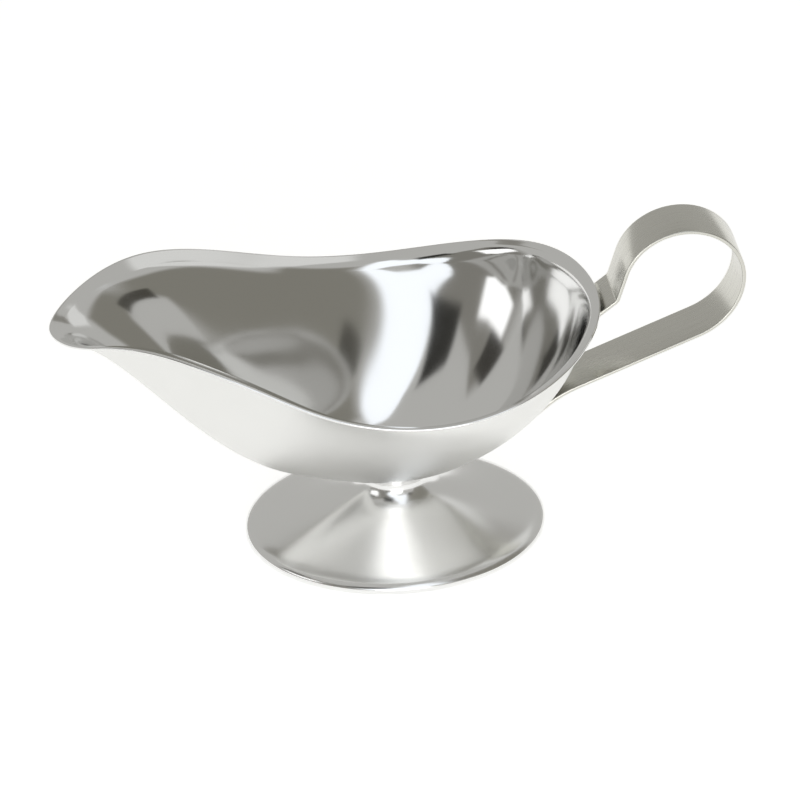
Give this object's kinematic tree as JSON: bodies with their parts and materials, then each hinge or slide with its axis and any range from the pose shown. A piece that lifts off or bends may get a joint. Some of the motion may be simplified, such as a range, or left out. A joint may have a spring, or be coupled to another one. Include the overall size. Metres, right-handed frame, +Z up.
{
  "type": "gravy boat",
  "caption": "Pedestal gravy boat in polished steel: long drawn bowl with a pouring spout, oval spun foot and a bent flat strap handle.",
  "frame": {"origin": "centre of the foot's base ring, on the table", "axes": "+X from the spout to the handle, +Y across, +Z up"},
  "size_m": [0.2076, 0.0942, 0.105],
  "materials": {
    "polished_steel": "mirror-polished stainless steel",
    "satin_steel": "satin stainless steel strip",
    "weld_steel": "dressed weld metal"
  },
  "bodies": {
    "root": {"bowl": "polished_steel", "pedestal_foot": "polished_steel", "handle_strap": "satin_steel", "neck_weld": "weld_steel", "upper_handle_welds": "weld_steel", "lower_handle_welds": "weld_steel"}
  },
  "joints": []
}
